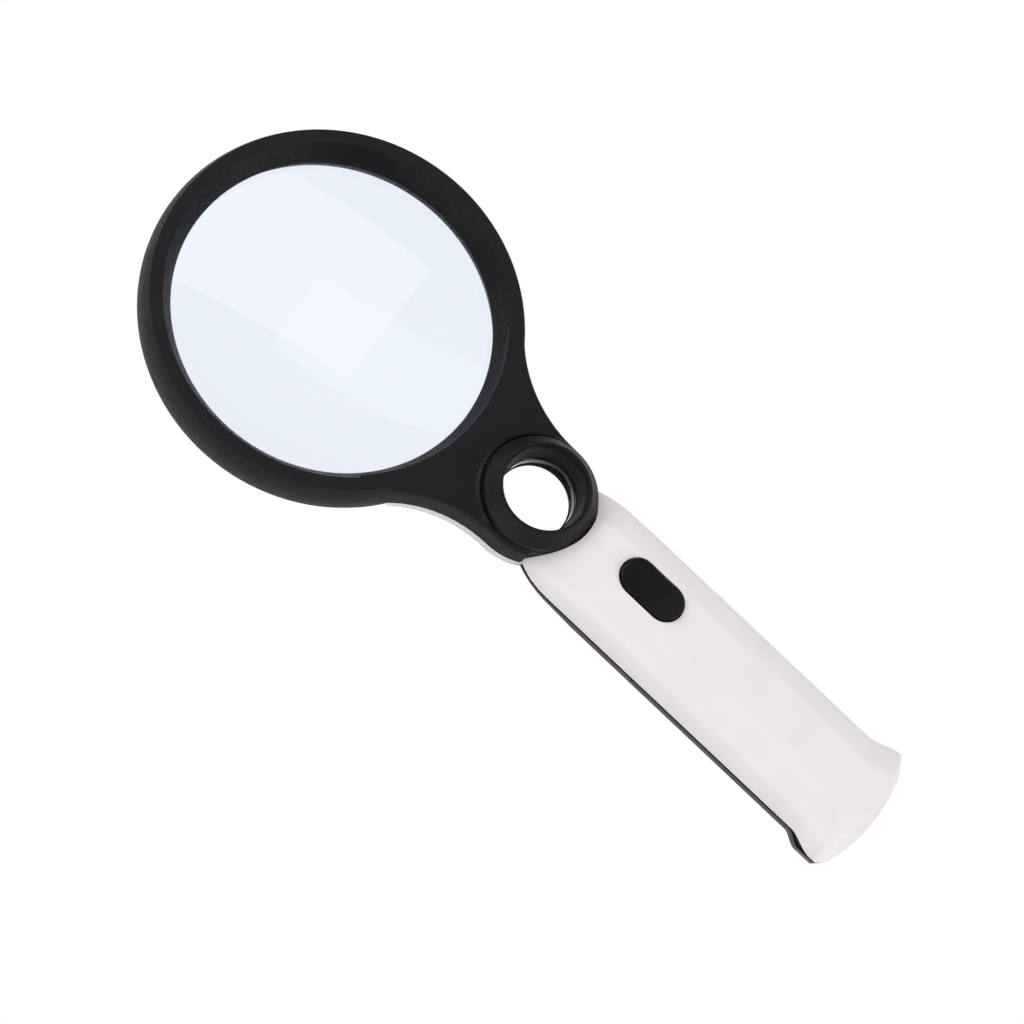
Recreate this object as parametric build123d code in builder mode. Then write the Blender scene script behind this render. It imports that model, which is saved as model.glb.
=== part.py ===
from build123d import *
import os
from math import atan2, cos, degrees, pi, radians, sin, sqrt, tan

# Hand-held low vision magnifier: a large main lens in a round ring, a small strong lens in an
# eyelet at the neck, and a battery handle with three lamps and a push switch.
#
# Millimetres.  The object lies on its back: +Z is up through the front face, +Y runs to the head,
# and the object is symmetric about X = 0.  The origin is the centre of the bounding box's bottom.

# ---------------------------------------------------------------- driving dimensions
LENGTH = 206.5  # tip of the ring to the end of the handle
RING_D = 87.0  # outside of the ring at its widest level
LENS_D = 75.0  # main lens
EYELET_PITCH = 59.8  # ring axis to eyelet axis
FACE_Z = 18.0  # flat front face of ring and neck
SEAM_Z = 12.0  # level where the front and rear covers meet
RING_BACK_Z = 6.2  # rear face of the ring
WALL = 1.5  # moulded wall of covers
GAP = 0.1  # seam left between two covers

RING_Y = LENGTH / 2 - RING_D / 2
EYELET_Y = RING_Y - EYELET_PITCH
HANDLE_END_Y = -LENGTH / 2

# ring section
RING_R = RING_D / 2
FACE_OUT_R = 42.1  # outer edge of the flat face
FACE_IN_R = 39.2  # inner edge of the flat face
SIDE_BULGE_R = ((FACE_Z - SEAM_Z) ** 2 + (RING_R - FACE_OUT_R) ** 2) / (2 * (RING_R - FACE_OUT_R))
LENS_R = LENS_D / 2
LIP_R = 36.5  # clear radius of the lip in front of the lens
LIP_T = 0.7
LENS_FRONT_Z = 12.05  # the lens's edge bears on the lip here
LENS_EDGE_T = 2.0
LENS_SAG = 3.2  # bulge of each lens face
LENS_BORE_R = LENS_R + 0.1
LENS_SEAT = 0.2  # the lip touches the curved face this far in front of the edge's plane
RETAINER_SEAT = 0.1  # and the retaining ring this far behind it
LENS_MID_Z = LENS_FRONT_Z - LENS_SEAT - LENS_EDGE_T / 2
RETAINER_Z = LENS_MID_Z - LENS_EDGE_T / 2 - RETAINER_SEAT  # front of the retaining ring
RETAINER_R = 38.6
RETAINER_BORE_R = RETAINER_R + 0.1
RETAINER_IN_R = 37.1
RETAINER_BACK_Z = RING_BACK_Z + 0.5

# neck
NECK_HALF = 14.55  # half width at the waist, at the seam level
NECK_LEAN = 0.2  # the side walls lean in by this much up to the front face
NECK_EDGE_R = 1.0  # rounding between the side walls and the front face
NECK_FACE_T = 1.8
RING_LAP = 8.0  # the neck's plan runs on this far under the ring
NECK_WAIST_Y = EYELET_Y + 1.3
DISC_TRIM = 0.45  # the disc round the eyelet is this much smaller than the waist
NOSE_RELIEF_Y = EYELET_Y - 7.1  # the handle's nose laps the disc from here on

# eyelet
EYE_BOSS_R = 13.15  # outside of the raised boss
EYE_WALL_Z = FACE_Z + 1.6  # the boss's side is upright up to here and slopes inwards above
EYE_TOP_Z = 23.4
EYE_TOP_R = 10.0  # inner edge of the boss's top
EYE_THROAT_R = 8.9
EYE_BORE_R = 10.3  # bore that takes the barrel
EYE_TUBE_R = 11.3
EYE_TUBE_Z = 5.0
EYE_SHOULDER_Z = 16.9
EYE_CUT_R = EYE_BOSS_R + 0.25  # opening of the handle's nose round the boss
NOSE_CUT_R = NECK_HALF - DISC_TRIM - 0.15  # and its lower edge, at the seam level
REAR_CUT_R = NECK_HALF - DISC_TRIM + 0.05  # front of the handle's rear cover
RIDGE_IN_R = 13.5  # low ridge round the head side of the boss, behind a narrow groove
RIDGE_R = 13.8
RIDGE_FOOT_R = 14.5
RIDGE_H = 0.75
BARREL_R = EYE_BORE_R - 0.1
BARREL_POCKET_R = 9.3
BARREL_LIP_R = 8.0
BARREL_BACK_R = 8.5  # clear radius at the barrel's rear end
BARREL_LIP_Z = 11.7
BARREL_LIP_T = 0.8
BARREL_FLANGE_R = 11.2
BARREL_BACK_Z = 2.4
SMALL_LENS_R = 9.2
SMALL_LENS_EDGE_T = 1.6
SMALL_LENS_SAG = 2.0
SMALL_LENS_SEAT = 0.55
SMALL_LENS_Z = BARREL_LIP_Z + SMALL_LENS_SEAT + SMALL_LENS_EDGE_T / 2
SMALL_RING_IN_R = 8.55
SMALL_RING_T = 2.4

# rear cover of the neck
COVER_BACK_Z = 3.0
COVER_TRIM = 0.25  # the cover stands this far inside the frame's outline
COVER_WALL = 1.2
COVER_ROUND = 7.3
COVER_SEAT_R = 11.4  # flat seat for the barrel's flange
COVER_CLIP_R = RING_R + 0.15

# handle sections: width and height of the elliptic sides, cut by a flat crown
FRONT_HALF_W = 14.1
FRONT_CROWN = 10.3  # crown above the seam
FRONT_FLAT = 5.2  # half width of the crown's flat
REAR_HALF_W = 13.9
REAR_CROWN = SEAM_Z  # the rear crown is the floor
REAR_FLAT = 7.5
NOSE_Y = EYELET_Y - 7.0
SHOULDER_Y = EYELET_Y - 16.5
BODY_Y = EYELET_Y - 25.0  # the section is constant from here to the flare
# the covers narrow and dip from the shoulder to the nose: crown and flat at either place
NOSE_NARROW = 2.0
FRONT_NOSE = (6.5, 3.0)
FRONT_SHOULDER = (9.2, 4.6)
REAR_NOSE = (9.0, 3.0)
REAR_SHOULDER = (11.0, 6.0)
NOSE_EDGE_Y = EYELET_Y - 7.2  # edge of the nose, where it laps the disc
NOSE_EDGE_HALF = 11.9
NOSE_L = 9.3  # the nose widens to the full width over this length
NOSE_BOW = 1.3  # by this much in its first third
FLARE_Y = RING_Y - 149.7  # the end flares out from here
FRONT_FLARE_END_Y = RING_Y - 157.0
REAR_FLARE_END_Y = RING_Y - 154.0
FLARE_W = 2.1  # on each side
FLARE_CROWN = 0.8
FLARE_FLAT = 1.2
END_DRAFT = 20.0
REAR_END_DRAFT = 9.0
END_CORNER_W = 5.8  # the end's rounded corners
END_CORNER_L = 8.0
END_CORNER_BOW = 1.7  # how far each corner has turned in at half its length
END_RISE = 1.66  # bow of the end between its corners
SHADOW_T = 1.2  # height and depth of the shadow groove under the front cover
SHADOW_DEPTH = 0.5

# push button
BUTTON_Y = EYELET_Y - 32.0
SLOT_L = 17.0
SLOT_W = 9.3
BUTTON_GAP = 0.35
BUTTON_TOP_Z = 23.2
BUTTON_DISH = 1.0
BUTTON_TRAVEL = 1.2
SKIRT_MARGIN = 0.9
SKIRT_T = 0.8
SKIRT_TOP_Z = 20.3

# battery bay
CELL_R = 5.1
CELL_L = 44.5
CELL_NUB_R = 1.9
CELL_NUB_L = 1.0
CELL_PITCH = 2 * CELL_R + 0.05
CELL_TOP_Z = 15.6  # axis of the upper cell
CELL_LOW_Z = CELL_TOP_Z - CELL_PITCH * sqrt(3) / 2
BAY_HEAD_Y = RING_Y - 105.6
CONTACT_T = 0.4
SPRING_L = 3.2
BAY_TAIL_Y = BAY_HEAD_Y - (CELL_L + SPRING_L + 2 * CONTACT_T)
TRAY_T = 1.3
RAIL_X = 10.3  # inner face of the tray's side rails
RAIL_T = 1.0
RAIL_LOW_Z = 8.4
RAIL_TOP_Z = 14.6
FLANGE_W = 0.5
FLANGE_T = 1.1
DOOR_RIB_Z = 9.8
DOOR_RIB_T = 1.0
RUN_GAP = 0.2
DOOR_Y = BAY_HEAD_Y + 3.2  # head edge of the battery door
DOOR_WALL = 1.2
LATCH_W = 3.0
LATCH_L = 3.4
LATCH_T = 1.0
GROOVE_COUNT = 5
GROOVE_PITCH = 2.0
GROOVE_R = 1.0
GROOVE_DEPTH = 0.4
GROOVE_HALF_W = 5.0
SPRING_TOP_R = 2.0
SPRING_BASE_R = 3.4
SPRING_WIRE = 0.45
CONTACT_R = 3.5
DISH_CHORD = 15.0

# electronics
BOARD_T = 1.2
LED_R = 1.5
LED_FLANGE_R = 1.7
LED_FLANGE_T = 0.8
LED_L = 5.9
LED_FLANGE_Z = 8.3
LED_LEG_R = 0.25
LED_LEG_PITCH = 1.27
LED_SPOTS = [(-7.6, RING_Y - 46.6), (0.0, RING_Y - 46.65), (7.6, RING_Y - 46.6)]
LED_BOARD_Z = SEAM_Z + 0.4
SWITCH_BOARD_Z = SEAM_Z + 0.6
SWITCH_W = 8.0
SWITCH_H = 4.2
PLUNGER_W = 3.0
WIRE_R = 0.5
WIRE_X = 11.9  # the wires pass the eyelet's tube this far out
WIRE_Z = 10.6
GATE_Y = EYELET_Y - 12.5
GATE_W = 20.4
GATE_L = 9.2
GATE_H = 2.6
RESISTOR_R = 0.9
RESISTOR_L = 3.4

# screws
SCREW_R = 1.0
SCREW_HEAD_R = 1.9
SCREW_HEAD_T = 1.3
BOSS_R = 2.3
POST_R = 1.4
PILOT_R = SCREW_R + 0.05
POCKET_R = SCREW_HEAD_R + 0.2
CLOSING_SCREWS = [(0.0, EYELET_Y - 19.0), (-8.6, EYELET_Y - 37.5), (8.6, EYELET_Y - 37.5)]
CLOSING_HEAD_Z = 6.0
CLOSING_SCREW_L = 12.0
NECK_SCREWS = [(-12.0, RING_Y - 45.0), (12.0, RING_Y - 45.0)]
NECK_HEAD_Z = 5.5
NECK_SCREW_L = 10.0
TRAY_SCREWS = [(-8.3, (BAY_HEAD_Y + BAY_TAIL_Y) / 2), (8.3, (BAY_HEAD_Y + BAY_TAIL_Y) / 2)]
TRAY_HEAD_Z = 13.2
TRAY_SCREW_L = 4.2

os.makedirs("parts", exist_ok=True)


def save(builder, name):
    """Label a finished piece and write it as one STEP file."""
    builder.part.label = name
    export_step(builder.part, f"parts/{name}.step")


# ---------------------------------------------------------------- outlines
def ring_side_r(z):
    """Radius of the ring's bulging outside at level z."""
    return RING_R - SIDE_BULGE_R + sqrt(SIDE_BULGE_R**2 - (z - SEAM_Z) ** 2)


def neck_half(z):
    """Half width of the neck at level z: a slight lean, then the rounded edge of the front face."""
    lean = NECK_LEAN * (z - SEAM_Z) / (FACE_Z - SEAM_Z)
    rise = max(0.0, z - (FACE_Z - NECK_EDGE_R))
    return NECK_HALF - lean - (NECK_EDGE_R - sqrt(NECK_EDGE_R**2 - rise**2))


def neck_outline(ring_r=RING_R, half=NECK_HALF):
    """Plan of the neck: concave sides tangent to the ring, and a disc round the eyelet."""
    pitch = RING_Y - NECK_WAIST_Y
    arc_r = (half**2 + pitch**2 - ring_r**2) / (2 * (ring_r - half))
    centre = Vector(half + arc_r, NECK_WAIST_Y)
    to_ring = (Vector(0, RING_Y) - centre).normalized()
    top = centre + to_ring * arc_r
    middle_angle = (atan2(to_ring.Y, to_ring.X) + pi) / 2
    middle = centre + Vector(cos(middle_angle), sin(middle_angle)) * arc_r
    waist = Vector(half, NECK_WAIST_Y)
    disc_r = half - DISC_TRIM
    disc_corner = Vector(disc_r * sin(pi / 4), EYELET_Y - disc_r * sin(pi / 4))
    with BuildSketch() as outline:
        with BuildLine():
            Polyline((0, top.Y + RING_LAP), (top.X - 2, top.Y + RING_LAP), (top.X, top.Y))
            ThreePointArc(top, middle, waist)
            ThreePointArc(waist, disc_corner, (0, EYELET_Y - disc_r))
            mirror(about=Plane.YZ)
        make_face()
    return outline.sketch


def handle_plan(inset, lean=0.0):
    """Plan of the handle, shrunk by inset and wide enough along its sides to leave the flare alone.

    lean moves the end inwards, for the upper or lower edge of the sloping end face.
    """
    nose_y = NOSE_EDGE_Y - inset
    nose_x = NOSE_EDGE_HALF - inset
    flank_x = FRONT_HALF_W - inset
    side_x = FRONT_HALF_W + FLARE_W + 1.4 - inset
    end_y = HANDLE_END_Y + inset + lean
    corner_x = side_x - lean / 2
    bow_x = corner_x - END_CORNER_W
    with BuildSketch() as plan:
        with BuildLine():
            Line((0, nose_y), (nose_x, nose_y))
            bow = (nose_x + NOSE_BOW, nose_y - NOSE_L / 3)
            ThreePointArc((nose_x, nose_y), bow, (flank_x, nose_y - NOSE_L))
            Polyline(
                (flank_x, nose_y - NOSE_L),
                (side_x, nose_y - 1.5 * NOSE_L),
                (side_x, FLARE_Y),
                (corner_x, end_y + END_CORNER_L),
            )
            ThreePointArc(
                (corner_x, end_y + END_CORNER_L),
                (corner_x - END_CORNER_BOW, end_y + END_CORNER_L / 2),
                (bow_x, end_y + END_RISE),
            )
            ThreePointArc((bow_x, end_y + END_RISE), (0, end_y), (-bow_x, end_y + END_RISE))
            mirror(about=Plane.YZ)
        make_face()
    return plan.sketch


def half_section(y, half_w, crown, flat, side):
    """One half of the handle's section at y: elliptic flanks cut by a flat crown."""
    height = crown / sqrt(1 - (flat / half_w) ** 2)
    with BuildSketch(Plane.XZ.offset(-y)) as section:
        with Locations((0, SEAM_Z)):
            Ellipse(half_w, height)
        with Locations((0, SEAM_Z + side * crown / 2)):
            Rectangle(2 * half_w, crown, mode=Mode.INTERSECT)
    return section.sketch.face()


def handle_half(side, inset):
    """Solid of the front (side = 1) or rear (side = -1) half of the handle, shrunk by inset."""
    front = side > 0
    half_w = (FRONT_HALF_W if front else REAR_HALF_W) - inset
    crown = (FRONT_CROWN if front else REAR_CROWN) - inset
    flat = (FRONT_FLAT if front else REAR_FLAT) - inset / 2
    crown_rise = FLARE_CROWN if front else 0
    flare_end_y = FRONT_FLARE_END_Y if front else REAR_FLARE_END_Y
    draft = END_DRAFT if front else REAR_END_DRAFT
    height = crown + crown_rise + 1
    flare = []
    for step in range(6):
        t = step / 5
        ease = t * t * (3 - 2 * t)
        y = FLARE_Y + (flare_end_y - FLARE_Y) * t
        w = half_w + FLARE_W * ease
        flare.append(half_section(y, w, crown + crown_rise * ease, flat + FLARE_FLAT * ease, side))
    nose_crown, nose_flat = FRONT_NOSE if front else REAR_NOSE
    shoulder_crown, shoulder_flat = FRONT_SHOULDER if front else REAR_SHOULDER
    head = []
    for step in range(5):
        t = step / 4
        y = NOSE_Y + (SHOULDER_Y - NOSE_Y) * t
        w = half_w - NOSE_NARROW * (1 - t) ** 2
        here_crown = nose_crown + (shoulder_crown - nose_crown) * t - inset
        here_flat = nose_flat + (shoulder_flat - nose_flat) * t - inset / 2
        head.append(half_section(y, w, here_crown, here_flat, side))
    head.append(half_section(BODY_Y, half_w, crown, flat, side))
    lean = height * tan(radians(draft))
    with BuildPart() as half:
        loft(head, ruled=True)
        extrude(head[-1], amount=BODY_Y - FLARE_Y, dir=(0, -1, 0))
        loft(flare)
        extrude(flare[-1], amount=flare_end_y - HANDLE_END_Y + 2, dir=(0, -1, 0))
        plan = handle_plan(inset).face()
        far_plan = handle_plan(inset, lean).face().moved(Location((0, 0, side * height)))
        loft([plan.moved(Location((0, 0, SEAM_Z))), far_plan.moved(Location((0, 0, SEAM_Z)))],
             ruled=True, mode=Mode.INTERSECT)
    return half.part


def ring_axis():
    return Axis((0, RING_Y, 0), (0, 0, 1))


def eyelet_axis():
    return Axis((0, EYELET_Y, 0), (0, 0, 1))


def cross_plane(y):
    """Plane across the handle at y: its local x is X, its local y is Z, its normal is -Y."""
    return Plane.XZ.offset(-y)


def lens(radius, edge, sag, axis_y, middle_z, name):
    """Biconvex lens with a plain cylindrical edge."""
    with BuildPart() as body:
        with BuildSketch(cross_plane(axis_y)):
            with BuildLine():
                Line((0, middle_z - edge / 2 - sag), (0, middle_z + edge / 2 + sag))
                bulge = edge / 2 + sag
                mid = lens_height(radius, sag, radius / 2) + edge / 2
                front_rim = (radius, middle_z + edge / 2)
                back_rim = (radius, middle_z - edge / 2)
                ThreePointArc((0, middle_z + bulge), (radius / 2, middle_z + mid), front_rim)
                Line(front_rim, back_rim)
                ThreePointArc(back_rim, (radius / 2, middle_z - mid), (0, middle_z - bulge))
            make_face()
        revolve(axis=Axis((0, axis_y, 0), (0, 0, 1)))
    save(body, name)


def lens_height(radius, sag, r):
    """Height of a spherical lens face above its rim at radius r."""
    sphere = (radius**2 + sag**2) / (2 * sag)
    return sqrt(sphere**2 - r**2) - (sphere - sag)


# ---------------------------------------------------------------- head frame
with BuildPart() as neck_pocket:
    # hollow of the neck behind its face, between the ring's wall and the eyelet's tube
    with BuildSketch(Plane.XY.offset(SEAM_Z)):
        add(neck_outline())
        offset(amount=-NECK_FACE_T)
        with Locations((0, RING_Y)):
            Circle(RING_R - 1.8, mode=Mode.SUBTRACT)
        with Locations((0, EYELET_Y)):
            Circle(EYE_TUBE_R + 0.6, mode=Mode.SUBTRACT)
        with Locations((0, EYELET_Y - NECK_HALF)):
            Rectangle(2 * NECK_HALF, 2 * NECK_HALF, mode=Mode.SUBTRACT)
        with Locations(*NECK_SCREWS):
            Circle(BOSS_R, mode=Mode.SUBTRACT)
    extrude(amount=FACE_Z - NECK_FACE_T - SEAM_Z)

with BuildPart() as ridge:
    # low lip round the head side of the boss
    with BuildSketch(Plane(origin=(0, EYELET_Y, 0), x_dir=(1, 0, 0), z_dir=(0, -1, 0))):
        with BuildLine():
            Polyline(
                (EYE_BOSS_R - 0.5, FACE_Z - 1),
                (EYE_BOSS_R - 0.5, FACE_Z + 0.1),
                (RIDGE_IN_R, FACE_Z + 0.1),
                (RIDGE_R, FACE_Z + RIDGE_H),
                (RIDGE_FOOT_R, FACE_Z),
                (RIDGE_FOOT_R, FACE_Z - 1),
                close=True,
            )
        make_face()
    revolve(axis=eyelet_axis(), revolution_arc=180)
    with BuildSketch(Plane.XY.offset(FACE_Z - 2)):
        add(neck_outline(FACE_OUT_R, neck_half(FACE_Z)))
    extrude(amount=4, mode=Mode.INTERSECT)

with BuildPart() as nose_relief:
    # what the handle's nose takes away from the rim of the disc
    with BuildSketch(cross_plane(EYELET_Y)):
        with BuildLine():
            Polyline(
                (NOSE_CUT_R - 0.12, SEAM_Z - 1),
                (EYE_CUT_R - 0.12, FACE_Z + 0.5),
                (NECK_HALF + 2, FACE_Z + 0.5),
                (NECK_HALF + 2, SEAM_Z - 1),
                close=True,
            )
        make_face()
    revolve(axis=eyelet_axis())
    with Locations((0, NOSE_RELIEF_Y + NECK_HALF, SEAM_Z)):
        Box(4 * NECK_HALF, 2 * NECK_HALF, 4 * FACE_Z, mode=Mode.SUBTRACT)

with BuildPart() as head_frame:
    edge_levels = [FACE_Z - NECK_EDGE_R * (1 - sin(radians(angle))) for angle in (0, 30, 60, 90)]
    for z in [SEAM_Z, SEAM_Z + 2.5] + edge_levels:
        with BuildSketch(Plane.XY.offset(z)):
            add(neck_outline(ring_side_r(z) - 0.05, neck_half(z)))
    loft(ruled=True)
    with BuildSketch(Plane.XY.offset(RING_BACK_Z)):
        with Locations((0, RING_Y)):
            Circle(LENS_BORE_R + 1)
    extrude(amount=FACE_Z - RING_BACK_Z, mode=Mode.SUBTRACT)
    with BuildSketch(cross_plane(RING_Y)):
        with BuildLine():
            back_r = ring_side_r(RING_BACK_Z)
            outer = ThreePointArc((FACE_OUT_R, FACE_Z), (RING_R, SEAM_Z), (back_r, RING_BACK_Z))
            Polyline(
                outer @ 1,
                (RETAINER_BORE_R, RING_BACK_Z),
                (RETAINER_BORE_R, RETAINER_Z),
                (LENS_BORE_R, RETAINER_Z),
                (LENS_BORE_R, LENS_FRONT_Z),
                (LIP_R, LENS_FRONT_Z),
                (LIP_R, LENS_FRONT_Z + LIP_T),
                (FACE_IN_R, FACE_Z),
                outer @ 0,
            )
        make_face()
    revolve(axis=ring_axis())
    add(neck_pocket.part, mode=Mode.SUBTRACT)
    with BuildSketch(Plane.XY.offset(SEAM_Z)):
        with Locations((0, EYELET_Y)):
            Circle(EYE_TUBE_R)
    extrude(amount=EYE_TUBE_Z - SEAM_Z)
    with BuildSketch(cross_plane(EYELET_Y)):
        with BuildLine():
            Polyline(
                (0, FACE_Z - 1),
                (EYE_BOSS_R, FACE_Z - 1),
                (EYE_BOSS_R, EYE_WALL_Z),
                (EYE_BOSS_R - 0.15, EYE_WALL_Z + 0.4),
                (EYE_BOSS_R - 0.7, EYE_WALL_Z + 1.0),
                (EYE_TOP_R + 0.6, EYE_TOP_Z - 0.15),
                (EYE_TOP_R, EYE_TOP_Z),
                (0, EYE_TOP_Z),
                close=True,
            )
        make_face()
    revolve(axis=eyelet_axis())
    add(ridge.part)
    add(nose_relief.part, mode=Mode.SUBTRACT)
    with BuildSketch(cross_plane(EYELET_Y)):
        with BuildLine():
            Polyline(
                (0, EYE_TUBE_Z),
                (EYE_BORE_R, EYE_TUBE_Z),
                (EYE_BORE_R, EYE_SHOULDER_Z),
                (EYE_THROAT_R, EYE_SHOULDER_Z),
                (EYE_THROAT_R, EYE_SHOULDER_Z + 0.8),
                (EYE_TOP_R - 0.35, EYE_TOP_Z - 0.5),
                (EYE_TOP_R, EYE_TOP_Z),
                (0, EYE_TOP_Z),
                close=True,
            )
        make_face()
    revolve(axis=eyelet_axis(), mode=Mode.SUBTRACT)
    # tongue clamped between the handle's covers
    with BuildSketch(Plane.XY.offset(SEAM_Z + 0.05)):
        with Locations((0, EYELET_Y - NECK_HALF - 3.3)):
            Rectangle(16, 9.2)
    extrude(amount=3.9)
    with BuildSketch(Plane.XY.offset(SEAM_Z)):
        with Locations(*CLOSING_SCREWS[:1]):
            Circle(PILOT_R + 0.2)
    extrude(amount=4, mode=Mode.SUBTRACT)
    with BuildSketch(Plane.XY.offset(SEAM_Z)):
        with Locations(*NECK_SCREWS):
            Circle(PILOT_R)
    extrude(amount=3.6, mode=Mode.SUBTRACT)
save(head_frame, "head_frame")

# ---------------------------------------------------------------- lenses and their rings
lens(LENS_R, LENS_EDGE_T, LENS_SAG, RING_Y, LENS_MID_Z, "main_lens")

with BuildPart() as main_lens_ring:
    with BuildSketch(Plane.XY.offset(RETAINER_BACK_Z)):
        with Locations((0, RING_Y)):
            Circle(RETAINER_R)
            Circle(RETAINER_IN_R, mode=Mode.SUBTRACT)
    extrude(amount=RETAINER_Z - RETAINER_BACK_Z)
    back = main_lens_ring.faces().sort_by(Axis.Z)[0]
    chamfer(back.edges(), length=0.4)
    with Locations((0, RING_Y, RETAINER_BACK_Z)):
        with PolarLocations(RETAINER_R - 0.4, 3, start_angle=90):
            Box(1.6, 2.6, 2.0, mode=Mode.SUBTRACT)
save(main_lens_ring, "main_lens_ring")

lens(SMALL_LENS_R, SMALL_LENS_EDGE_T, SMALL_LENS_SAG, EYELET_Y, SMALL_LENS_Z, "small_lens")

with BuildPart() as small_lens_barrel:
    with BuildSketch(cross_plane(EYELET_Y)):
        with BuildLine():
            Polyline(
                (BARREL_POCKET_R, EYE_SHOULDER_Z - 0.1),
                (BARREL_R, EYE_SHOULDER_Z - 0.1),
                (BARREL_R, COVER_BACK_Z - 0.05),
                (BARREL_FLANGE_R, COVER_BACK_Z - 0.05),
                (BARREL_FLANGE_R, BARREL_BACK_Z + 0.2),
                (BARREL_FLANGE_R - 0.2, BARREL_BACK_Z),
                (BARREL_BACK_R, BARREL_BACK_Z),
                (BARREL_LIP_R, BARREL_LIP_Z - BARREL_LIP_T),
                (BARREL_LIP_R, BARREL_LIP_Z),
                (BARREL_POCKET_R, BARREL_LIP_Z),
                close=True,
            )
        make_face()
    revolve(axis=eyelet_axis())
save(small_lens_barrel, "small_lens_barrel")

with BuildPart() as small_lens_ring:
    with BuildSketch(Plane.XY.offset(SMALL_LENS_Z + SMALL_LENS_EDGE_T / 2 + SMALL_LENS_SEAT)):
        with Locations((0, EYELET_Y)):
            Circle(BARREL_POCKET_R - 0.05)
            Circle(SMALL_RING_IN_R, mode=Mode.SUBTRACT)
    extrude(amount=SMALL_RING_T)
    chamfer(small_lens_ring.faces().sort_by(Axis.Z)[-1].edges().sort_by(Edge.length)[0], length=0.25)
save(small_lens_ring, "small_lens_ring")

# ---------------------------------------------------------------- rear cover of the neck
def cover_body(inset, floor_z, rounding):
    """Tub behind the neck: the neck's outline, less the ring, with a rounded bottom edge."""
    levels = [(SEAM_Z - GAP, inset)]
    for angle in range(90, -1, -15):
        turn = radians(angle)
        levels.append((floor_z + rounding * (1 - cos(turn)), inset + rounding * (1 - sin(turn))))
    with BuildPart() as tub:
        for z, level_inset in levels:
            with BuildSketch(Plane.XY.offset(z)):
                add(neck_outline(RING_R - level_inset, NECK_HALF - level_inset))
        loft(ruled=True)
        with BuildSketch(Plane.XY.offset(floor_z)):
            with Locations((0, RING_Y)):
                Circle(COVER_CLIP_R + (inset - COVER_TRIM))
        extrude(amount=SEAM_Z, mode=Mode.SUBTRACT)
    return tub.part


with BuildPart() as wire_gate:
    # way for the lamp wires from the handle into the neck, hidden by the handle's nose
    with Locations((0, GATE_Y, WIRE_Z + 0.2)):
        Box(GATE_W, GATE_L, GATE_H)

cover_outside = cover_body(COVER_TRIM, COVER_BACK_Z, COVER_ROUND)
inner_trim = COVER_TRIM + COVER_WALL
cover_inside = cover_body(inner_trim, COVER_BACK_Z + WALL, COVER_ROUND - COVER_WALL)

with BuildPart() as neck_cover:
    add(cover_outside)
    add(cover_inside, mode=Mode.SUBTRACT)
    with BuildSketch(Plane.XY.offset(COVER_BACK_Z)):
        with Locations(*NECK_SCREWS):
            Circle(POCKET_R + 0.9)
    extrude(amount=SEAM_Z - GAP - COVER_BACK_Z)
    add(cover_outside, mode=Mode.INTERSECT)
    with BuildSketch(Plane.XY.offset(COVER_BACK_Z)):
        with Locations((0, EYELET_Y)):
            Circle(COVER_SEAT_R)
    extrude(amount=EYE_TUBE_Z - 0.05 - COVER_BACK_Z)
    with BuildSketch(Plane.XY.offset(EYE_TUBE_Z - 0.05)):
        with Locations((0, EYELET_Y)):
            Circle(EYE_TUBE_R + 0.1)
    extrude(amount=SEAM_Z, mode=Mode.SUBTRACT)
    with BuildSketch(Plane.XY.offset(COVER_BACK_Z - 1)):
        with Locations(*NECK_SCREWS):
            Circle(POCKET_R)
    extrude(amount=1 + NECK_HEAD_Z - COVER_BACK_Z, mode=Mode.SUBTRACT)
    with BuildSketch(Plane.XY.offset(COVER_BACK_Z - 1)):
        with Locations(*NECK_SCREWS):
            Circle(PILOT_R)
        with Locations((0, EYELET_Y)):
            Circle(BARREL_R + 0.1)
        with Locations(*LED_SPOTS):
            Circle(LED_R + 0.25)
    extrude(amount=SEAM_Z, mode=Mode.SUBTRACT)
    add(wire_gate.part, mode=Mode.SUBTRACT)
save(neck_cover, "neck_cover")

# ---------------------------------------------------------------- handle covers
with BuildPart() as front_cavity:
    add(handle_half(1, WALL))
    with BuildSketch(Plane.XY.offset(FACE_Z + 0.1)):
        with Locations((0, EYELET_Y)):
            Circle(EYE_CUT_R + WALL)
    extrude(amount=10, mode=Mode.SUBTRACT)

with BuildPart() as front_posts:
    # screw bosses and board ribs, trimmed to stay inside the cover
    with BuildSketch(Plane.XY.offset(SEAM_Z + 4.0)):
        with Locations(*CLOSING_SCREWS[:1]):
            Circle(BOSS_R)
    extrude(amount=12)
    with BuildSketch(Plane.XY.offset(SEAM_Z + GAP)):
        with Locations(*CLOSING_SCREWS[1:]):
            Circle(BOSS_R)
    extrude(amount=12)
    with BuildSketch(Plane.XY.offset(RAIL_TOP_Z + 0.05)):
        with Locations(*TRAY_SCREWS):
            Circle(BOSS_R - 0.4)
    extrude(amount=12)
    with BuildSketch(Plane.XY.offset(SWITCH_BOARD_Z + BOARD_T + 0.05)):
        with Locations((0, BUTTON_Y)):
            with GridLocations(11.6, 15, 2, 2):
                Rectangle(0.8, 3)
    extrude(amount=12)
    add(handle_half(1, WALL / 2), mode=Mode.INTERSECT)

with BuildPart() as front_pilots:
    for spots, start, depth in (
        (CLOSING_SCREWS, SEAM_Z, 7.0),
        (TRAY_SCREWS, RAIL_TOP_Z, 3.0),
    ):
        with BuildSketch(Plane.XY.offset(start)):
            with Locations(*spots):
                Circle(PILOT_R)
        extrude(amount=depth)

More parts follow.
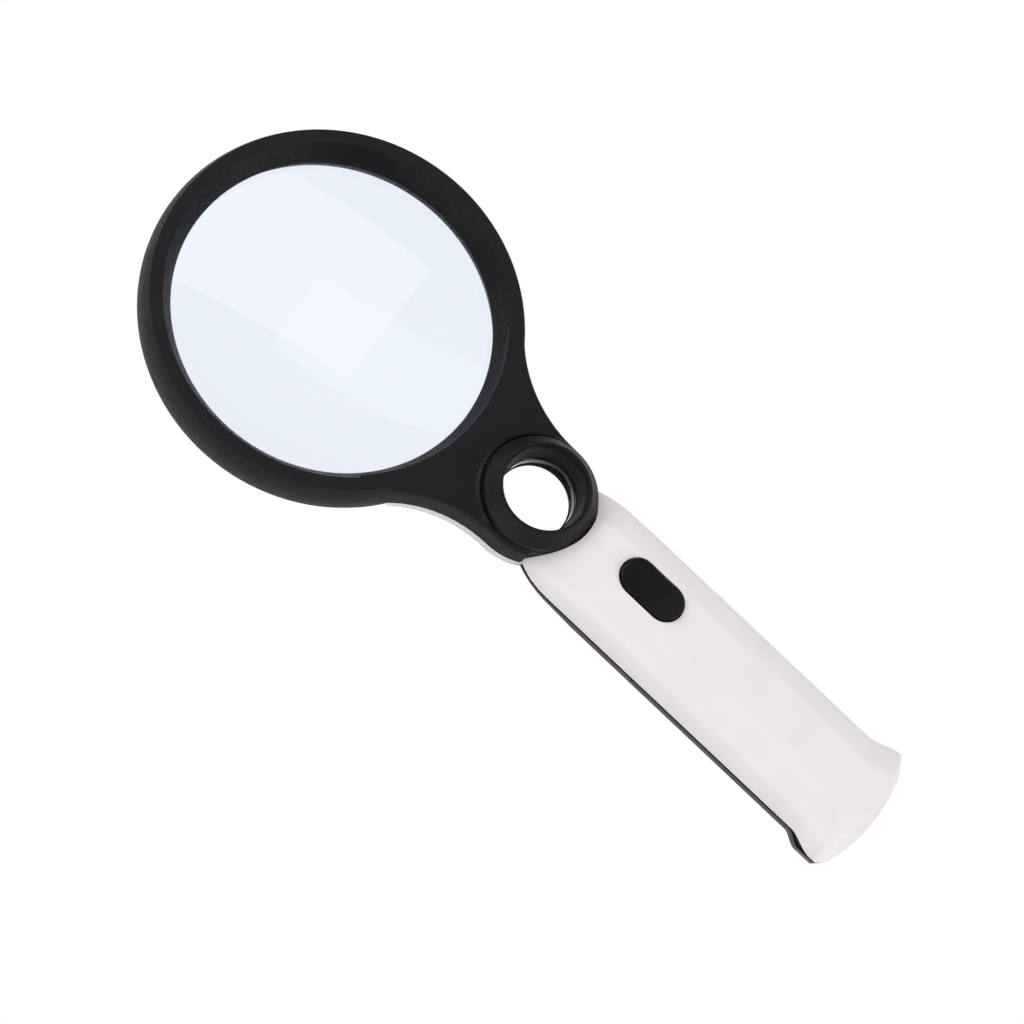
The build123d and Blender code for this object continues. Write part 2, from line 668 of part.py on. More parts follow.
with BuildPart() as handle_front_cover:
    add(handle_half(1, 0))
    add(front_cavity.part, mode=Mode.SUBTRACT)
    add(front_posts.part)
    with BuildSketch(Plane.XY.offset(SEAM_Z)):
        Rectangle(60, 2 * LENGTH)
    extrude(amount=GAP, mode=Mode.SUBTRACT)
    with BuildSketch(cross_plane(EYELET_Y)):
        with BuildLine():
            Polyline(
                (0, SEAM_Z - 1),
                (NOSE_CUT_R, SEAM_Z - 1),
                (EYE_CUT_R, FACE_Z + 0.5),
                (EYE_CUT_R, 2 * FACE_Z),
                (0, 2 * FACE_Z),
                close=True,
            )
        make_face()
    revolve(axis=eyelet_axis(), mode=Mode.SUBTRACT)
    with BuildSketch(Plane.XY.offset(SEAM_Z + 4)):
        with Locations((0, BUTTON_Y)):
            SlotOverall(SLOT_L, SLOT_W, rotation=90)
    extrude(amount=12, mode=Mode.SUBTRACT)
    add(front_pilots.part, mode=Mode.SUBTRACT)
save(handle_front_cover, "handle_front_cover")

with BuildPart() as rear_posts:
    with BuildSketch(Plane.XY.offset(0.5)):
        with Locations(*CLOSING_SCREWS):
            Circle(POCKET_R + 1.0)
    extrude(amount=SEAM_Z - 0.5)
    add(handle_half(-1, WALL / 2), mode=Mode.INTERSECT)
    with BuildSketch(Plane.XY.offset(0.5)):
        with Locations((0, BUTTON_Y)):
            with GridLocations(8, 10, 2, 2):
                Circle(POST_R)
    extrude(amount=SWITCH_BOARD_Z - 0.05 - 0.5)

with BuildPart() as rear_front_wall:
    # curved wall that closes the rear cover behind the disc
    with BuildSketch(Plane.XY.offset(0.5)):
        with Locations((0, EYELET_Y)):
            Circle(REAR_CUT_R + 1.3)
            Circle(REAR_CUT_R, mode=Mode.SUBTRACT)
    extrude(amount=SEAM_Z - 0.5)
    add(handle_half(-1, WALL / 2), mode=Mode.INTERSECT)
    add(wire_gate.part, mode=Mode.SUBTRACT)

with BuildPart() as shadow_groove:
    # the rear covers step in just below the front cover
    with Locations((0, 0, SEAM_Z - SHADOW_T / 2)):
        Box(3 * FRONT_HALF_W, 2 * LENGTH, SHADOW_T)
    add(handle_half(-1, SHADOW_DEPTH), mode=Mode.SUBTRACT)

with BuildPart() as handle_rear_cover:
    add(handle_half(-1, 0))
    add(handle_half(-1, WALL), mode=Mode.SUBTRACT)
    add(rear_posts.part)
    add(rear_front_wall.part)
    add(shadow_groove.part, mode=Mode.SUBTRACT)
    with BuildSketch(Plane.XY.offset(SEAM_Z - GAP)):
        Rectangle(60, 2 * LENGTH)
        with Locations((0, BUTTON_Y)):
            with GridLocations(8, 10, 2, 2):
                Circle(POST_R, mode=Mode.SUBTRACT)
    extrude(amount=2, mode=Mode.SUBTRACT)
    with BuildSketch(Plane.XY.offset(-1)):
        with Locations((0, EYELET_Y)):
            Circle(REAR_CUT_R)
        with Locations((0, DOOR_Y + RUN_GAP / 2 - LENGTH)):
            Rectangle(60, 2 * LENGTH)
    extrude(amount=20, mode=Mode.SUBTRACT)
    with BuildSketch(Plane.XY.offset(-1)):
        with Locations(*CLOSING_SCREWS):
            Circle(POCKET_R)
    extrude(amount=1 + CLOSING_HEAD_Z, mode=Mode.SUBTRACT)
    with BuildSketch(Plane.XY.offset(-1)):
        with Locations(*CLOSING_SCREWS):
            Circle(PILOT_R)
    extrude(amount=SEAM_Z + 2, mode=Mode.SUBTRACT)
save(handle_rear_cover, "handle_rear_cover")

# ---------------------------------------------------------------- battery door
RIB_END_Y = FLARE_Y + 1.0
with BuildPart() as door_ribs:
    # long ribs inside the door's sides; they run on the tray's flanges
    with BuildSketch(Plane.XY.offset(DOOR_RIB_Z)):
        with Locations((0, (DOOR_Y + RIB_END_Y) / 2 - 1)):
            Rectangle(60, DOOR_Y - RIB_END_Y - 4)
            Rectangle(2 * (RAIL_X + RAIL_T + RUN_GAP), LENGTH, mode=Mode.SUBTRACT)
    extrude(amount=DOOR_RIB_T)
    add(handle_half(-1, DOOR_WALL / 2), mode=Mode.INTERSECT)

with BuildPart() as battery_door:
    add(handle_half(-1, 0))
    add(handle_half(-1, DOOR_WALL), mode=Mode.SUBTRACT)
    add(door_ribs.part)
    add(shadow_groove.part, mode=Mode.SUBTRACT)
    with BuildSketch(Plane.XY.offset(SEAM_Z - GAP)):
        Rectangle(60, 2 * LENGTH)
    extrude(amount=2, mode=Mode.SUBTRACT)
    with BuildSketch(Plane.XY.offset(-1)):
        with Locations((0, DOOR_Y - RUN_GAP / 2 + LENGTH)):
            Rectangle(60, 2 * LENGTH)
    extrude(amount=20, mode=Mode.SUBTRACT)
    # latch tab that tucks inside the rear cover
    with Locations((0, DOOR_Y, WALL + RUN_GAP + LATCH_T / 2)):
        Box(LATCH_W, LATCH_L, LATCH_T)
    with Locations((0, DOOR_Y - LATCH_L / 4 - RUN_GAP, (DOOR_WALL + WALL + RUN_GAP) / 2)):
        Box(LATCH_W, LATCH_L / 2 - 2 * RUN_GAP, WALL + RUN_GAP - DOOR_WALL + 0.4)
    # finger grip: shallow grooves across the door
    for step in range(GROOVE_COUNT):
        y = DOOR_Y - 7.0 - step * GROOVE_PITCH
        with BuildSketch(Plane.YZ):
            with Locations((y, -GROOVE_R + GROOVE_DEPTH)):
                Circle(GROOVE_R)
        extrude(amount=GROOVE_HALF_W, both=True, mode=Mode.SUBTRACT)
save(battery_door, "battery_door")

# ---------------------------------------------------------------- battery tray
def bay_wall(y, thickness, towards):
    """Bulkhead that fills the handle's inside at y, with running room to the covers."""
    front = half_section(y, FRONT_HALF_W - WALL - RUN_GAP, FRONT_CROWN - WALL - RUN_GAP, FRONT_FLAT - 1, 1)
    rear_trim = DOOR_WALL + 2 * RUN_GAP
    rear = half_section(y, REAR_HALF_W - rear_trim, REAR_CROWN - rear_trim, REAR_FLAT - 1, -1)
    with BuildPart() as wall:
        extrude(front, amount=thickness, dir=(0, towards, 0))
        extrude(rear, amount=thickness, dir=(0, towards, 0))
    return wall.part


with BuildPart() as battery_tray:
    add(bay_wall(BAY_HEAD_Y, TRAY_T, 1))
    add(bay_wall(BAY_TAIL_Y, TRAY_T, -1))
    bay_mid_y = (BAY_HEAD_Y + BAY_TAIL_Y) / 2
    bay_length = BAY_HEAD_Y - BAY_TAIL_Y + 0.4
    for side in (-1, 1):
        with Locations((side * (RAIL_X + RAIL_T / 2), bay_mid_y, (RAIL_LOW_Z + RAIL_TOP_Z) / 2)):
            Box(RAIL_T, bay_length, RAIL_TOP_Z - RAIL_LOW_Z)
        with Locations((side * (RAIL_X + RAIL_T + FLANGE_W / 2), bay_mid_y, RAIL_LOW_Z + FLANGE_T / 2)):
            Box(FLANGE_W, bay_length, FLANGE_T)
        with Locations((side * (RAIL_X - 1.5), bay_mid_y, (TRAY_HEAD_Z + RAIL_TOP_Z) / 2)):
            Box(5, 5, RAIL_TOP_Z - TRAY_HEAD_Z)
    # the head bulkhead's rim is notched for the door's ribs
    with BuildSketch(Plane.XY.offset(DOOR_RIB_Z - RUN_GAP)):
        Rectangle(60, 2 * LENGTH)
        Rectangle(2 * (RAIL_X + RAIL_T), 2 * LENGTH, mode=Mode.SUBTRACT)
    extrude(amount=SEAM_Z + 3 * GAP - DOOR_RIB_Z + RUN_GAP, mode=Mode.SUBTRACT)
    with BuildSketch(Plane.XY.offset(TRAY_HEAD_Z - 1)):
        with Locations(*TRAY_SCREWS):
            Circle(PILOT_R)
    extrude(amount=4, mode=Mode.SUBTRACT)
    # way for the door's latch tab below the cells
    with Locations((0, bay_mid_y, WALL + RUN_GAP + LATCH_T / 2)):
        Box(LATCH_W + 0.6, 2 * bay_length, LATCH_T + 0.6, mode=Mode.SUBTRACT)
save(battery_tray, "battery_tray")

# ---------------------------------------------------------------- cells, contacts and springs
CELLS = [
    ("1", -CELL_PITCH / 2, CELL_LOW_Z, 1),
    ("2", CELL_PITCH / 2, CELL_LOW_Z, -1),
    ("3", 0.0, CELL_TOP_Z, 1),
]

for number, x, z, towards_head in CELLS:
    positive_y = BAY_HEAD_Y - CONTACT_T if towards_head > 0 else BAY_TAIL_Y + CONTACT_T
    down = -towards_head
    with BuildPart() as battery:
        with BuildSketch(cross_plane(positive_y + down * CELL_NUB_L)):
            with Locations((x, z)):
                Circle(CELL_R)
        extrude(amount=CELL_L - CELL_NUB_L, dir=(0, down, 0))
        ends = battery.edges().filter_by(GeomType.CIRCLE)
        chamfer(ends, length=0.35)
        with BuildSketch(cross_plane(positive_y)):
            with Locations((x, z)):
                Circle(CELL_NUB_R)
        extrude(amount=CELL_NUB_L + 0.5, dir=(0, down, 0))
    save(battery, f"battery_{number}")

    far_y = positive_y + down * CELL_L
    coil_plane = Plane(origin=(x, far_y, z), x_dir=(1, 0, 0), z_dir=(0, down, 0))
    with BuildPart() as spring:
        with BuildSketch(coil_plane.offset(0.05)):
            Circle(SPRING_TOP_R)
            Circle(SPRING_TOP_R - SPRING_WIRE, mode=Mode.SUBTRACT)
        with BuildSketch(coil_plane.offset(SPRING_L - 0.05)):
            Circle(SPRING_BASE_R)
            Circle(SPRING_BASE_R - SPRING_WIRE, mode=Mode.SUBTRACT)
        loft()
    save(spring, f"battery_spring_{number}")


def contact(y, spots, name):
    """Thin plates on a bulkhead: a round pad for each spot, or a strip joining two cells."""
    with BuildPart() as plates:
        with BuildSketch(cross_plane(y)):
            for first, second in spots:
                middle = ((first[0] + second[0]) / 2, (first[1] + second[1]) / 2)
                span = sqrt((first[0] - second[0]) ** 2 + (first[1] - second[1]) ** 2)
                angle = degrees(atan2(second[1] - first[1], second[0] - first[0]))
                with Locations(middle):
                    if span > 0:
                        SlotCenterToCenter(span, 2 * CONTACT_R, rotation=angle)
                    else:
                        Circle(CONTACT_R)
        extrude(amount=CONTACT_T)
    save(plates, name)


low_left = (-CELL_PITCH / 2, CELL_LOW_Z)
low_right = (CELL_PITCH / 2, CELL_LOW_Z)
high = (0.0, CELL_TOP_Z)
contact(BAY_HEAD_Y, [(low_right, high), (low_left, low_left)], "head_contacts")
contact(BAY_TAIL_Y + CONTACT_T, [(low_left, low_right), (high, high)], "tail_contacts")

# ---------------------------------------------------------------- push button and switch
with BuildPart() as switch_button:
    with BuildSketch(Plane.XY.offset(SKIRT_TOP_Z)):
        with Locations((0, BUTTON_Y)):
            SlotOverall(SLOT_L - 2 * BUTTON_GAP, SLOT_W - 2 * BUTTON_GAP, rotation=90)
    extrude(amount=BUTTON_TOP_Z - SKIRT_TOP_Z)
    fillet(switch_button.faces().sort_by(Axis.Z)[-1].edges(), radius=0.6)
    dish_r = (DISH_CHORD**2 / 4 + BUTTON_DISH**2) / (2 * BUTTON_DISH)
    with BuildSketch(Plane.YZ):
        with Locations((BUTTON_Y, BUTTON_TOP_Z + dish_r - BUTTON_DISH)):
            Circle(dish_r)
    extrude(amount=SLOT_W, both=True, mode=Mode.SUBTRACT)
    with BuildSketch(Plane.XY.offset(SKIRT_TOP_Z - SKIRT_T)):
        with Locations((0, BUTTON_Y)):
            SlotOverall(SLOT_L + 2 * SKIRT_MARGIN, SLOT_W + 2 * SKIRT_MARGIN, rotation=90)
    extrude(amount=SKIRT_T)
save(switch_button, "switch_button")

SWITCH_BASE_Z = SWITCH_BOARD_Z + BOARD_T
SWITCH_TOP_Z = SWITCH_BASE_Z + SWITCH_H
PLUNGER_TOP_Z = SKIRT_TOP_Z - SKIRT_T
PLUNGER_BASE_Z = SWITCH_TOP_Z - 0.8
with BuildPart() as switch_plunger:
    with Locations((0, BUTTON_Y, (PLUNGER_TOP_Z + PLUNGER_BASE_Z) / 2)):
        Box(PLUNGER_W, PLUNGER_W, PLUNGER_TOP_Z - PLUNGER_BASE_Z)
    chamfer(switch_plunger.edges().filter_by(Axis.Z), length=0.3)
save(switch_plunger, "switch_plunger")

with BuildPart() as switch_body:
    with Locations((0, BUTTON_Y, SWITCH_BASE_Z + SWITCH_H / 2)):
        Box(SWITCH_W, SWITCH_W, SWITCH_H)
    chamfer(switch_body.edges().filter_by(Axis.Z), length=0.4)
    hole = PLUNGER_W + 0.2
    hole_depth = SWITCH_TOP_Z - PLUNGER_BASE_Z + BUTTON_TRAVEL + 0.2
    with Locations((0, BUTTON_Y, SWITCH_TOP_Z - hole_depth / 2)):
        Box(hole, hole, hole_depth, mode=Mode.SUBTRACT)
save(switch_body, "switch_body")

with BuildPart() as switch_board:
    with BuildSketch(Plane.XY.offset(SWITCH_BOARD_Z)):
        with Locations((0, BUTTON_Y)):
            RectangleRounded(11.6, 17.0, 0.8)
    extrude(amount=BOARD_T)
save(switch_board, "switch_board")

with BuildPart() as resistor:
    body_z = SWITCH_BASE_Z + RESISTOR_R + 0.1
    with BuildSketch(Plane.YZ):
        with Locations((BUTTON_Y + 6.2, body_z)):
            Circle(RESISTOR_R)
    extrude(amount=RESISTOR_L / 2, both=True)
    chamfer(resistor.edges().filter_by(GeomType.CIRCLE), length=0.25)
    with BuildSketch(Plane.YZ):
        with Locations((BUTTON_Y + 6.2, body_z)):
            Circle(LED_LEG_R)
    extrude(amount=RESISTOR_L / 2 + 1.3, both=True)
    with BuildSketch(Plane.XY.offset(SWITCH_BASE_Z + 0.02)):
        with Locations((-RESISTOR_L / 2 - 1.05, BUTTON_Y + 6.2), (RESISTOR_L / 2 + 1.05, BUTTON_Y + 6.2)):
            Circle(LED_LEG_R)
    extrude(amount=body_z - SWITCH_BASE_Z - 0.02)
save(resistor, "resistor")

# ---------------------------------------------------------------- lamp board and lamps
with BuildPart() as led_board:
    with BuildSketch(Plane.XY.offset(LED_BOARD_Z)):
        add(neck_outline())
        offset(amount=-NECK_FACE_T - 0.6)
        with Locations((0, RING_Y)):
            Circle(RING_R + 0.3, mode=Mode.SUBTRACT)
        with Locations((0, EYELET_Y)):
            Circle(EYE_TUBE_R + 0.9, mode=Mode.SUBTRACT)
        with Locations((0, EYELET_Y - NECK_HALF + 3)):
            Rectangle(3 * NECK_HALF, 2 * NECK_HALF, mode=Mode.SUBTRACT)
        with Locations(*NECK_SCREWS):
            Circle(BOSS_R + 0.2, mode=Mode.SUBTRACT)
    extrude(amount=BOARD_T)
    with BuildSketch(Plane.XY.offset(LED_BOARD_Z - 1)):
        for x, y in LED_SPOTS:
            with Locations((x, y)):
                with GridLocations(2 * LED_LEG_PITCH, 0, 2, 1):
                    Circle(LED_LEG_R + 0.05)
    extrude(amount=4, mode=Mode.SUBTRACT)
save(led_board, "led_board")

for number, (x, y) in enumerate(LED_SPOTS, start=1):
    with BuildPart() as led:
        with BuildSketch(Plane.XY.offset(LED_FLANGE_Z)):
            with Locations((x, y)):
                Circle(LED_FLANGE_R)
        extrude(amount=-LED_FLANGE_T)
        with BuildSketch(cross_plane(y)):
            with BuildLine():
                tip_z = LED_FLANGE_Z - LED_L
                shoulder_z = tip_z + LED_R
                Polyline((x, tip_z), (x, LED_FLANGE_Z), (x + LED_R, LED_FLANGE_Z), (x + LED_R, shoulder_z))
                ThreePointArc(
                    (x + LED_R, shoulder_z),
                    (x + LED_R * sin(pi / 4), shoulder_z - LED_R * sin(pi / 4)),
                    (x, tip_z),
                )
            make_face()
        revolve(axis=Axis((x, y, 0), (0, 0, 1)))
        with BuildSketch(Plane.XY.offset(LED_FLANGE_Z - 0.3)):
            with Locations((x, y)):
                with GridLocations(2 * LED_LEG_PITCH, 0, 2, 1):
                    Circle(LED_LEG_R)
        extrude(amount=LED_BOARD_Z + BOARD_T + 0.3 - LED_FLANGE_Z + 0.3)
    save(led, f"led_{number}")

# ---------------------------------------------------------------- wires from switch to lamps
WIRE_TURN = radians(11.25)  # half of each turn round the tube
WIRE_CORNER_R = WIRE_X / cos(WIRE_TURN)
for side, name in ((-1, "lamp_wire_red"), (1, "lamp_wire_black")):
    route = [
        (side * 2.6, EYELET_Y - 25.2, SWITCH_BOARD_Z - 0.05),
        (side * 2.6, EYELET_Y - 25.2, WIRE_Z),
        (side * 5.4, EYELET_Y - 19.0, WIRE_Z),
        (side * 5.6, EYELET_Y - 13.6, WIRE_Z),
        (side * WIRE_CORNER_R * cos(3 * WIRE_TURN), EYELET_Y - WIRE_CORNER_R * sin(3 * WIRE_TURN), WIRE_Z),
        (side * WIRE_X, EYELET_Y - WIRE_X * tan(WIRE_TURN), WIRE_Z),
        (side * WIRE_X, EYELET_Y + 4.0, WIRE_Z),
        (side * 10.6, EYELET_Y + 10.6, WIRE_Z),
        (side * 10.6, EYELET_Y + 10.6, LED_BOARD_Z - 0.05),
    ]
    with BuildPart() as wire:
        with BuildLine() as path:
            FilletPolyline(*route, radius=[0.8, 3.0, 4.0, 8.0, 8.0, 4.0, 0.8])
        with BuildSketch(Plane(origin=path.line @ 0, z_dir=path.line % 0)):
            Circle(WIRE_R)
        sweep()
    save(wire, name)


# ---------------------------------------------------------------- screws
def screws(spots, head_z, length, name):
    """Pan-head screws, driven upwards: heads below head_z, cross recess in each."""
    with BuildPart() as group:
        with BuildSketch(Plane.XY.offset(head_z - 0.02)):
            with Locations(*spots):
                Circle(SCREW_HEAD_R)
        extrude(amount=-SCREW_HEAD_T)
        chamfer(group.faces().sort_by(Axis.Z)[:len(spots)].edges(), length=0.35)
        with BuildSketch(Plane.XY.offset(head_z - SCREW_HEAD_T)):
            with Locations(*spots):
                Rectangle(2.0, 0.45)
                Rectangle(0.45, 2.0)
        extrude(amount=0.7, mode=Mode.SUBTRACT)
        with BuildSketch(Plane.XY.offset(head_z - 0.3)):
            with Locations(*spots):
                Circle(SCREW_R)
        extrude(amount=length)
    save(group, name)


screws(CLOSING_SCREWS, CLOSING_HEAD_Z, CLOSING_SCREW_L, "handle_screws")
screws(NECK_SCREWS, NECK_HEAD_Z, NECK_SCREW_L, "neck_screws")
screws(TRAY_SCREWS, TRAY_HEAD_Z, TRAY_SCREW_L, "tray_screws")
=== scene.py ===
from math import cos, pi, radians, sin

import bmesh
import bpy
from mathutils import Matrix, Vector

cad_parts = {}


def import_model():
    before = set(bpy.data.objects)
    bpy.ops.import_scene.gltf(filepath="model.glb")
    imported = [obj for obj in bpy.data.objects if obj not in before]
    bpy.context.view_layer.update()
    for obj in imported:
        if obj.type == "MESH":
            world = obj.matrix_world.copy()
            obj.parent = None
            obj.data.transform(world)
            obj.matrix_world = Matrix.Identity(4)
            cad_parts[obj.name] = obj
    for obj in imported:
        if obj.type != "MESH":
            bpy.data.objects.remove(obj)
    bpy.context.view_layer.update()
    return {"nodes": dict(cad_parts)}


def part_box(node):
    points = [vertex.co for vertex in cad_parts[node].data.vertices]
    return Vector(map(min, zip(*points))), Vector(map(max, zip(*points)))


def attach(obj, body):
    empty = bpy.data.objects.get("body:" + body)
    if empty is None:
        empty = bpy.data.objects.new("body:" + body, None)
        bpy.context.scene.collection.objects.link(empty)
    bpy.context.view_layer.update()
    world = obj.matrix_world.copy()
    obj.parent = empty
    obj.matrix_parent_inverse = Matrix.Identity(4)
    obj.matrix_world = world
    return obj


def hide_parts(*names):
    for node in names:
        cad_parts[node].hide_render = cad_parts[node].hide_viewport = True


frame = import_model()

# The looks of a hand-held low vision magnifier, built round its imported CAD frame.
# Metres, in the CAD's frame: +Z up through the front face, +Y towards the main lens.

MM = 0.001
NODES = frame["nodes"]
BODY = "magnifier"
LAMPS = ("led_1", "led_2", "led_3")
CELLS = ("1", "2", "3")


# ---------------------------------------------------------------- materials
# most of a noise texture's values lie between these two
NOISE_LOW = 0.3
NOISE_HIGH = 0.7


def shader_of(material):
    """The material's Principled shader."""
    return material.node_tree.nodes["Principled BSDF"]


def new_material(name, color, roughness, metallic=0.0, specular=0.5, ior=1.5):
    """A material with one Principled shader and uniform values on its own sockets."""
    material = bpy.data.materials.new(name)
    material.use_nodes = True
    shader = shader_of(material)
    shader.inputs["Base Color"].default_value = (*color, 1.0)
    shader.inputs["Roughness"].default_value = roughness
    shader.inputs["Metallic"].default_value = metallic
    shader.inputs["Specular IOR Level"].default_value = specular
    shader.inputs["IOR"].default_value = ior
    return material


def noise(material, grain_mm, detail=3.0, stretch=(1.0, 1.0, 1.0)):
    """A noise texture in object space whose grains are about grain_mm across."""
    tree = material.node_tree
    place = tree.nodes.new("ShaderNodeTexCoord")
    scale = tree.nodes.new("ShaderNodeMapping")
    scale.inputs["Scale"].default_value = stretch
    texture = tree.nodes.new("ShaderNodeTexNoise")
    texture.inputs["Scale"].default_value = 1.0 / (grain_mm * MM)
    texture.inputs["Detail"].default_value = detail
    tree.links.new(place.outputs["Object"], scale.inputs["Vector"])
    tree.links.new(scale.outputs["Vector"], texture.inputs["Vector"])
    return texture.outputs["Fac"]


def cells_texture(material, size_mm):
    """Rounded pebbles about size_mm across, for the skin of a spark-textured mould."""
    tree = material.node_tree
    place = tree.nodes.new("ShaderNodeTexCoord")
    texture = tree.nodes.new("ShaderNodeTexVoronoi")
    texture.feature = "SMOOTH_F1"
    texture.inputs["Scale"].default_value = 1.0 / (size_mm * MM)
    tree.links.new(place.outputs["Object"], texture.inputs["Vector"])
    return texture.outputs["Distance"]


def vary_color(material, fac, low, high):
    """The base colour runs from low to high with fac."""
    tree = material.node_tree
    ramp = tree.nodes.new("ShaderNodeValToRGB")
    ramp.color_ramp.elements[0].position = NOISE_LOW
    ramp.color_ramp.elements[0].color = (*low, 1.0)
    ramp.color_ramp.elements[1].position = NOISE_HIGH
    ramp.color_ramp.elements[1].color = (*high, 1.0)
    tree.links.new(fac, ramp.inputs["Fac"])
    tree.links.new(ramp.outputs["Color"], shader_of(material).inputs["Base Color"])


def vary_roughness(material, fac, low, high):
    """The roughness runs from low to high with fac."""
    tree = material.node_tree
    span = tree.nodes.new("ShaderNodeMapRange")
    span.inputs["From Min"].default_value = NOISE_LOW
    span.inputs["From Max"].default_value = NOISE_HIGH
    span.inputs["To Min"].default_value = low
    span.inputs["To Max"].default_value = high
    tree.links.new(fac, span.inputs["Value"])
    tree.links.new(span.outputs["Result"], shader_of(material).inputs["Roughness"])


def add_bump(material, fac, depth_mm):
    """Fine relief of depth_mm where fac is 1."""
    tree = material.node_tree
    bump = tree.nodes.new("ShaderNodeBump")
    bump.inputs["Distance"].default_value = depth_mm * MM
    tree.links.new(fac, bump.inputs["Height"])
    tree.links.new(bump.outputs["Normal"], shader_of(material).inputs["Normal"])


def moulded(name, low, high, rough, grain_mm, relief_mm, specular=0.5, pebbled=False):
    """Moulded plastic: slight cloudiness in colour and gloss, and a fine textured skin."""
    material = new_material(name, high, rough[1], specular=specular)
    vary_color(material, noise(material, 9.0, detail=2.0), low, high)
    vary_roughness(material, noise(material, 2.5), rough[0], rough[1])
    skin = cells_texture(material, grain_mm) if pebbled else noise(material, grain_mm)
    add_bump(material, skin, relief_mm)
    return material


def clear(name, color, ior, roughness=0.0, specular=0.5):
    """Clear moulded material that lets light and shadow through."""
    material = new_material(name, color, roughness, specular=specular, ior=ior)
    shader_of(material).inputs["Transmission Weight"].default_value = 1.0
    tree = material.node_tree
    rays = tree.nodes.new("ShaderNodeLightPath")
    see_through = tree.nodes.new("ShaderNodeBsdfTransparent")
    see_through.inputs["Color"].default_value = (*color, 1.0)
    mix = tree.nodes.new("ShaderNodeMixShader")
    output = tree.nodes["Material Output"]
    tree.links.new(rays.outputs["Is Shadow Ray"], mix.inputs["Fac"])
    tree.links.new(shader_of(material).outputs["BSDF"], mix.inputs[1])
    tree.links.new(see_through.outputs["BSDF"], mix.inputs[2])
    tree.links.new(mix.outputs["Shader"], output.inputs["Surface"])
    return material


def metal(name, color, rough, grain_mm=0.4, stretch=(1.0, 1.0, 1.0)):
    """Metal with fine uneven polish."""
    material = new_material(name, color, rough[1], metallic=1.0)
    vary_roughness(material, noise(material, grain_mm, stretch=stretch), rough[0], rough[1])
    return material


def banded(name, bands, rough):
    """Printed sleeve of a cell: bands of colour along Y, each with the place where it starts."""
    material = new_material(name, bands[0][1], rough[1], specular=0.5)
    tree = material.node_tree
    place = tree.nodes.new("ShaderNodeTexCoord")
    split = tree.nodes.new("ShaderNodeSeparateXYZ")
    along = tree.nodes.new("ShaderNodeMapRange")
    low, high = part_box("battery_1")
    along.inputs["From Min"].default_value = low[1]
    along.inputs["From Max"].default_value = high[1]
    ramp = tree.nodes.new("ShaderNodeValToRGB")
    ramp.color_ramp.interpolation = "CONSTANT"
    ramp.color_ramp.elements.remove(ramp.color_ramp.elements[1])
    ramp.color_ramp.elements[0].color = (*bands[0][1], 1.0)
    for start, color in bands[1:]:
        ramp.color_ramp.elements.new(start).color = (*color, 1.0)
    tree.links.new(place.outputs["Object"], split.inputs["Vector"])
    tree.links.new(split.outputs["Y"], along.inputs["Value"])
    tree.links.new(along.outputs["Result"], ramp.inputs["Fac"])
    tree.links.new(ramp.outputs["Color"], shader_of(material).inputs["Base Color"])
    vary_roughness(material, noise(material, 1.5), rough[0], rough[1])
    add_bump(material, noise(material, 3.0), 0.03)
    return material


MATTE = (0.40, 0.50)
SATIN = (0.32, 0.40)
INK = (0.0052, 0.0050, 0.0072)
INK_LIGHT = (0.0072, 0.0068, 0.0094)

FRAME_BLACK = moulded("frame_black", INK, INK_LIGHT, MATTE, 0.30, 0.045, specular=0.20, pebbled=True)
COVER_BLACK = moulded("cover_black", INK, INK_LIGHT, (0.26, 0.34), 0.30, 0.012, specular=0.5, pebbled=True)
BUTTON_BLACK = moulded("button_black", INK, INK_LIGHT, SATIN, 0.25, 0.006, specular=0.12)
BARREL_BLACK = moulded("barrel_black", INK, INK_LIGHT, (0.16, 0.24), 0.3, 0.003, specular=0.4)
RING_BLACK = moulded("ring_black", INK, INK_LIGHT, (0.07, 0.12), 0.4, 0.002, specular=0.5)
WHITE_LOW = (0.800, 0.758, 0.780)
WHITE_HIGH = (0.820, 0.778, 0.800)
WHITE = moulded("cover_white", WHITE_LOW, WHITE_HIGH, (0.30, 0.38), 0.35, 0.004, specular=0.4)
LENS = clear("lens_clear", (0.80, 0.84, 0.93), 1.49)
SMALL_LENS = clear("small_lens_clear", (1.0, 1.0, 1.0), 1.49, specular=0.06)
EPOXY = clear("epoxy_clear", (0.95, 0.95, 0.96), 1.5, 0.03)
STEEL = metal("screw_steel", (0.56, 0.56, 0.57), (0.25, 0.4))
SPRING = metal("spring_steel", (0.62, 0.62, 0.64), (0.18, 0.3))
NICKEL = metal("contact_nickel", (0.66, 0.63, 0.58), (0.22, 0.35), 0.6, (0.1, 1.0, 1.0))
SOLDER = metal("solder", (0.68, 0.68, 0.70), (0.2, 0.4), 0.3)
TRAY = moulded("tray_black", (0.018, 0.018, 0.02), (0.028, 0.028, 0.03), (0.45, 0.58), 0.4, 0.01)
BOARD = moulded("board_green", (0.015, 0.11, 0.04), (0.025, 0.16, 0.06), (0.25, 0.35), 0.8, 0.004)
SWITCH = moulded("switch_black", (0.014, 0.014, 0.015), (0.02, 0.02, 0.022), (0.4, 0.5), 0.3, 0.006)
PLUNGER = moulded("switch_grey", (0.68, 0.68, 0.66), (0.76, 0.76, 0.74), (0.4, 0.5), 0.3, 0.004)
RED = moulded("wire_red", (0.42, 0.015, 0.012), (0.5, 0.02, 0.018), (0.3, 0.4), 0.6, 0.004)
BLACK_WIRE = moulded("wire_black", (0.012, 0.012, 0.012), (0.02, 0.02, 0.02), (0.3, 0.4), 0.6, 0.004)
TAN = moulded("resistor_tan", (0.5, 0.36, 0.2), (0.6, 0.45, 0.26), (0.3, 0.4), 0.5, 0.004)
PHOSPHOR = moulded("lamp_phosphor", (0.75, 0.55, 0.06), (0.85, 0.66, 0.1), (0.5, 0.6), 0.2, 0.004)
SLEEVE_DARK = (0.012, 0.016, 0.028)
SLEEVE_LIGHT = (0.42, 0.43, 0.45)
